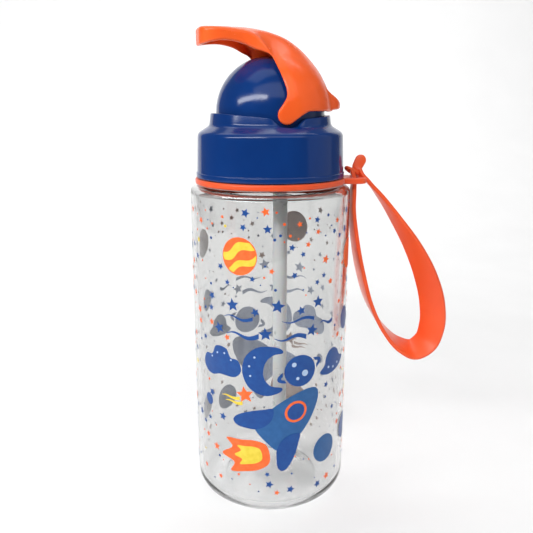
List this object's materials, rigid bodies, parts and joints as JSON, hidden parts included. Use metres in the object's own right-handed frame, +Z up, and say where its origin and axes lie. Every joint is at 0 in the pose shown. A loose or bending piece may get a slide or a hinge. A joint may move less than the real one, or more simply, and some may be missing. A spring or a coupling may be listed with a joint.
{
  "type": "kids water bottle",
  "caption": "Clear straight-sided drinking bottle with a screw lid, a flip lever whose hood covers a folding spout, an inner straw, and a soft wrist strap looped through a swivelling neck ring",
  "frame": {"origin": "centre of the base, on the surface that the bottle stands on", "axes": "+Z up along the bottle; +X towards the hood and thumb tab of the lever, so the lever swings in the XZ plane; the strap hangs 17 degrees from +X towards -Y"},
  "size_m": [0.1123, 0.068, 0.2026],
  "materials": {
    "clear_plastic": "clear, glossy",
    "blue_plastic": "glossy",
    "orange_plastic": "glossy",
    "orange_silicone": "satin silicone",
    "clear_silicone": "translucent silicone",
    "straw_plastic": "translucent"
  },
  "bodies": {
    "bottle": {"bottle_body": "clear_plastic"},
    "ring": {"neck_ring": "orange_silicone", "strap_knot": "orange_silicone"},
    "strap": {"strap_loop": "orange_silicone"},
    "lid_carrier": {"lid_gasket": "clear_silicone"},
    "lid": {"lid_cap": "blue_plastic", "vent_valve": "clear_silicone", "dome_cover": "blue_plastic", "spout_base": "clear_silicone", "straw_socket": "straw_plastic", "straw": "straw_plastic"},
    "lever": {"flip_lever": "orange_plastic"},
    "spout": {"spout_tip": "clear_silicone"}
  },
  "joints": [
    {"name": "ring_swivel", "type": "hinge", "parent": "bottle", "child": "ring", "pos_m": [0, 0, 0.1418], "axis": [0, 0, 1], "continuous": true},
    {"name": "strap_swing", "type": "hinge", "parent": "ring", "child": "strap", "pos_m": [0.03538, -0.01082, 0.1418], "axis": [-0.2924, -0.9563, 0], "range_deg": [0, 55]},
    {"name": "lid_lift", "type": "slide", "parent": "bottle", "child": "lid_carrier", "axis": [0, 0, 1], "range_m": [0, 0.006]},
    {"name": "lid_turn", "type": "hinge", "parent": "lid_carrier", "child": "lid", "pos_m": [0, 0, 0.15], "axis": [0, 0, 1], "range_deg": [0, 360]},
    {"name": "lever_flip", "type": "hinge", "parent": "lid", "child": "lever", "pos_m": [0, 0, 0.1693], "axis": [0, -1, 0], "range_deg": [0, 65]},
    {"name": "spout_rise", "type": "hinge", "parent": "lid", "child": "spout", "pos_m": [0.005, 0, 0.1803], "axis": [0, -1, 0], "range_deg": [0, 115]}
  ],
  "couplings": [
    {"joint": "lid_lift", "follows": "lid_turn", "m_per_rad": 0.0009549},
    {"joint": "spout_rise", "follows": "lever_flip", "ratio": 1.7692}
  ]
}
